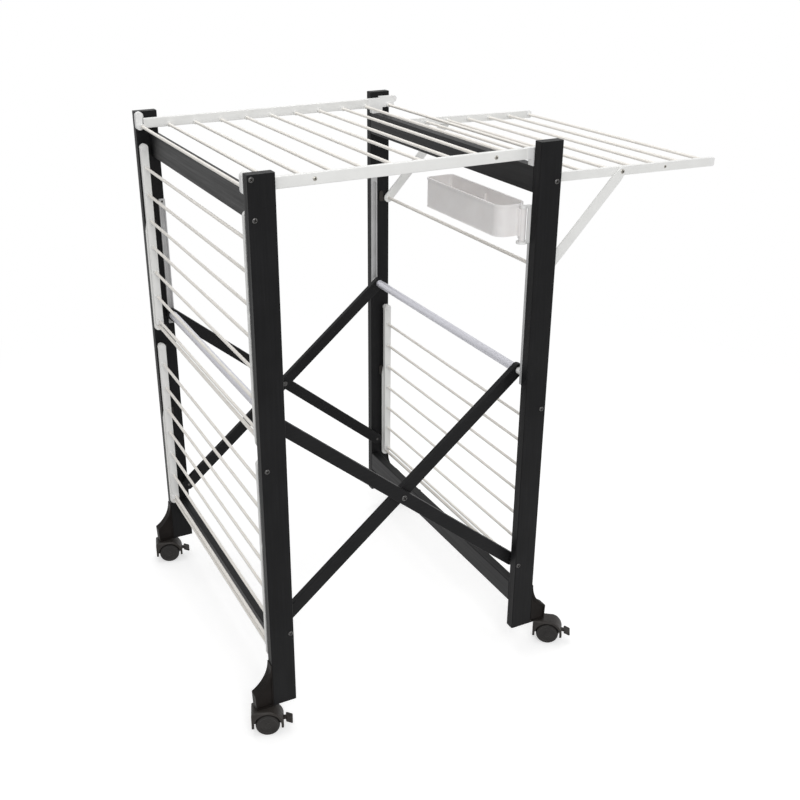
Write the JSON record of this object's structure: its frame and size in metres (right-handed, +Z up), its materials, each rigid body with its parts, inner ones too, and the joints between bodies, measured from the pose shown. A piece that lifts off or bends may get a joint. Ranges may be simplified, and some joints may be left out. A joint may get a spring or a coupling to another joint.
{
  "type": "clothes drying rack",
  "caption": "Upright folding clothes drying rack on casters: two end frames on a scissor brace, a rod panel on top, rod wings with stays on both ends, and a peg basket.",
  "frame": {"origin": "on the floor, midway between the four posts", "axes": "+X to the right end frame, which carries the peg basket; +Y from front to back; +Z up"},
  "size_m": [0.9937, 0.7189, 1.0551],
  "materials": {
    "black_wood": "satin black paint",
    "black_nylon": "matte moulded",
    "wheel_nylon": "matte moulded",
    "white_metal": "white powder coat",
    "white_plastic": "satin moulded",
    "basket_plastic": "satin moulded",
    "grey_plastic": "satin moulded",
    "tie_tube": "satin anodised",
    "nickel": "nickel plated"
  },
  "bodies": {
    "left_frame": {"left_front_post": "black_wood", "left_back_post": "black_wood", "left_boards": "black_wood", "left_channels": "grey_plastic", "left_brackets": "black_nylon", "left_catches": "black_nylon", "left_screws": "nickel"},
    "right_frame": {"right_front_post": "black_wood", "right_back_post": "black_wood", "right_boards": "black_wood", "right_channels": "grey_plastic", "right_brackets": "black_nylon", "right_catches": "black_nylon", "right_screws": "nickel", "basket_bracket": "white_plastic"},
    "inner_brace": {"inner_bars": "black_wood", "right_tube": "tie_tube", "right_sliders": "white_plastic"},
    "outer_brace": {"outer_bars": "black_wood", "left_tube": "tie_tube", "left_sliders": "white_plastic", "brace_bolts": "nickel"},
    "top_panel": {"panel_rails": "white_metal", "panel_rods": "white_metal", "panel_hinges": "white_plastic", "panel_feet": "white_plastic"},
    "upper_left_wing": {"upper_left_rails": "white_metal", "upper_left_rods": "white_metal", "upper_left_caps": "white_plastic"},
    "upper_left_stay": {"upper_left_stay": "white_metal"},
    "lower_left_wing": {"lower_left_rails": "white_metal", "lower_left_rods": "white_metal", "lower_left_caps": "white_plastic"},
    "lower_left_stay": {"lower_left_stay": "white_metal"},
    "upper_right_wing": {"upper_right_rails": "white_metal", "upper_right_rods": "white_metal", "upper_right_caps": "white_plastic"},
    "upper_right_stay": {"upper_right_stay": "white_metal"},
    "lower_right_wing": {"lower_right_rails": "white_metal", "lower_right_rods": "white_metal", "lower_right_caps": "white_plastic"},
    "lower_right_stay": {"lower_right_stay": "white_metal"},
    "basket": {"basket": "basket_plastic"},
    "left_front_caster": {"left_front_hood": "black_nylon"},
    "left_front_wheel_pair": {"left_front_wheels": "wheel_nylon"},
    "left_front_brake": {"left_front_pedal": "black_nylon"},
    "left_back_caster": {"left_back_hood": "black_nylon"},
    "left_back_wheel_pair": {"left_back_wheels": "wheel_nylon"},
    "left_back_brake": {"left_back_pedal": "black_nylon"},
    "right_front_caster": {"right_front_hood": "black_nylon"},
    "right_front_wheel_pair": {"right_front_wheels": "wheel_nylon"},
    "right_front_brake": {"right_front_pedal": "black_nylon"},
    "right_back_caster": {"right_back_hood": "black_nylon"},
    "right_back_wheel_pair": {"right_back_wheels": "wheel_nylon"},
    "right_back_brake": {"right_back_pedal": "black_nylon"}
  },
  "joints": [
    {"name": "fold", "type": "hinge", "parent": "left_frame", "child": "inner_brace", "pos_m": [-0.248, 0, 0.2066], "axis": [0, -1, 0], "range_deg": [0, 46]},
    {"name": "brace_cross", "type": "hinge", "parent": "inner_brace", "child": "outer_brace", "pos_m": [0, 0, 0.41385], "axis": [0, -1, 0], "range_deg": [-92, 0]},
    {"name": "right_foot_pivot", "type": "hinge", "parent": "outer_brace", "child": "right_frame", "pos_m": [0.248, 0, 0.2066], "axis": [0, -1, 0], "range_deg": [0, 46]},
    {"name": "panel_hinge", "type": "hinge", "parent": "left_frame", "child": "top_panel", "pos_m": [-0.281, 0, 1.0471], "axis": [0, 1, 0], "range_deg": [-263, 0]},
    {"name": "upper_left_hinge", "type": "hinge", "parent": "left_frame", "child": "upper_left_wing", "pos_m": [-0.278, 0, 0.9841], "axis": [0, 1, 0], "range_deg": [0, 88.7]},
    {"name": "upper_left_stay_pivot", "type": "hinge", "parent": "upper_left_wing", "child": "upper_left_stay", "pos_m": [-0.278, 0, 0.8236], "axis": [0, 1, 0], "range_deg": [-131.91, 0]},
    {"name": "lower_left_hinge", "type": "hinge", "parent": "left_frame", "child": "lower_left_wing", "pos_m": [-0.278, 0, 0.54985], "axis": [0, 1, 0], "range_deg": [0, 88.7]},
    {"name": "lower_left_stay_pivot", "type": "hinge", "parent": "lower_left_wing", "child": "lower_left_stay", "pos_m": [-0.278, 0, 0.38935], "axis": [0, 1, 0], "range_deg": [-131.91, 0]},
    {"name": "upper_right_hinge", "type": "hinge", "parent": "right_frame", "child": "upper_right_wing", "pos_m": [0.278, 0, 0.9841], "axis": [0, -1, 0], "range_deg": [-88.7, 0]},
    {"name": "upper_right_stay_pivot", "type": "hinge", "parent": "upper_right_wing", "child": "upper_right_stay", "pos_m": [0.43846, 0, 0.98046], "axis": [0, -1, 0], "range_deg": [0, 131.91]},
    {"name": "lower_right_hinge", "type": "hinge", "parent": "right_frame", "child": "lower_right_wing", "pos_m": [0.278, 0, 0.54985], "axis": [0, -1, 0], "range_deg": [0, 88.7]},
    {"name": "lower_right_stay_pivot", "type": "hinge", "parent": "lower_right_wing", "child": "lower_right_stay", "pos_m": [0.278, 0, 0.38935], "axis": [0, -1, 0], "range_deg": [-131.91, 0]},
    {"name": "basket_hinge", "type": "hinge", "parent": "right_frame", "child": "basket", "pos_m": [0.2275, -0.312, 0.9141], "axis": [0, 0, -1], "range_deg": [-90, 0]},
    {"name": "left_front_swivel", "type": "hinge", "parent": "left_frame", "child": "left_front_caster", "pos_m": [-0.317, -0.32515, 0.05], "axis": [0, 0, 1], "continuous": true},
    {"name": "left_front_roll", "type": "hinge", "parent": "left_front_caster", "child": "left_front_wheel_pair", "pos_m": [-0.30001, -0.33167, 0.023], "axis": [0.3584, 0.9336, 0], "continuous": true},
    {"name": "left_front_brake_pedal", "type": "hinge", "parent": "left_front_caster", "child": "left_front_brake", "pos_m": [-0.27408, -0.34163, 0.0269], "axis": [0.3584, 0.9336, 0], "range_deg": [0, 8]},
    {"name": "left_back_swivel", "type": "hinge", "parent": "left_frame", "child": "left_back_caster", "pos_m": [-0.317, 0.32515, 0.05], "axis": [0, 0, 1], "continuous": true},
    {"name": "left_back_roll", "type": "hinge", "parent": "left_back_caster", "child": "left_back_wheel_pair", "pos_m": [-0.29942, 0.32044, 0.023], "axis": [0.2588, 0.9659, 0], "continuous": true},
    {"name": "left_back_brake_pedal", "type": "hinge", "parent": "left_back_caster", "child": "left_back_brake", "pos_m": [-0.27259, 0.31325, 0.0269], "axis": [0.2588, 0.9659, 0], "range_deg": [0, 8]},
    {"name": "right_front_swivel", "type": "hinge", "parent": "right_frame", "child": "right_front_caster", "pos_m": [0.317, -0.32515, 0.05], "axis": [0, 0, 1], "continuous": true},
    {"name": "right_front_roll", "type": "hinge", "parent": "right_front_caster", "child": "right_front_wheel_pair", "pos_m": [0.33172, -0.33585, 0.023], "axis": [0.5878, 0.809, 0], "continuous": true},
    {"name": "right_front_brake_pedal", "type": "hinge", "parent": "right_front_caster", "child": "right_front_brake", "pos_m": [0.3542, -0.35218, 0.0269], "axis": [0.5878, 0.809, 0], "range_deg": [0, 8]},
    {"name": "right_back_swivel", "type": "hinge", "parent": "right_frame", "child": "right_back_caster", "pos_m": [0.317, 0.32515, 0.05], "axis": [0, 0, 1], "continuous": true},
    {"name": "right_back_roll", "type": "hinge", "parent": "right_back_caster", "child": "right_back_wheel_pair", "pos_m": [0.33276, 0.31605, 0.023], "axis": [0.5, 0.866, 0], "continuous": true},
    {"name": "right_back_brake_pedal", "type": "hinge", "parent": "right_back_caster", "child": "right_back_brake", "pos_m": [0.35682, 0.30216, 0.0269], "axis": [0.5, 0.866, 0], "range_deg": [0, 8]}
  ],
  "couplings": [
    {"joint": "brace_cross", "follows": "fold", "ratio": -2},
    {"joint": "right_foot_pivot", "follows": "fold", "ratio": 1},
    {"joint": "upper_left_stay_pivot", "follows": "upper_left_hinge", "ratio": -1.487},
    {"joint": "lower_left_stay_pivot", "follows": "lower_left_hinge", "ratio": -1.487},
    {"joint": "upper_right_stay_pivot", "follows": "upper_right_hinge", "ratio": -1.487},
    {"joint": "lower_right_stay_pivot", "follows": "lower_right_hinge", "ratio": -1.487}
  ]
}
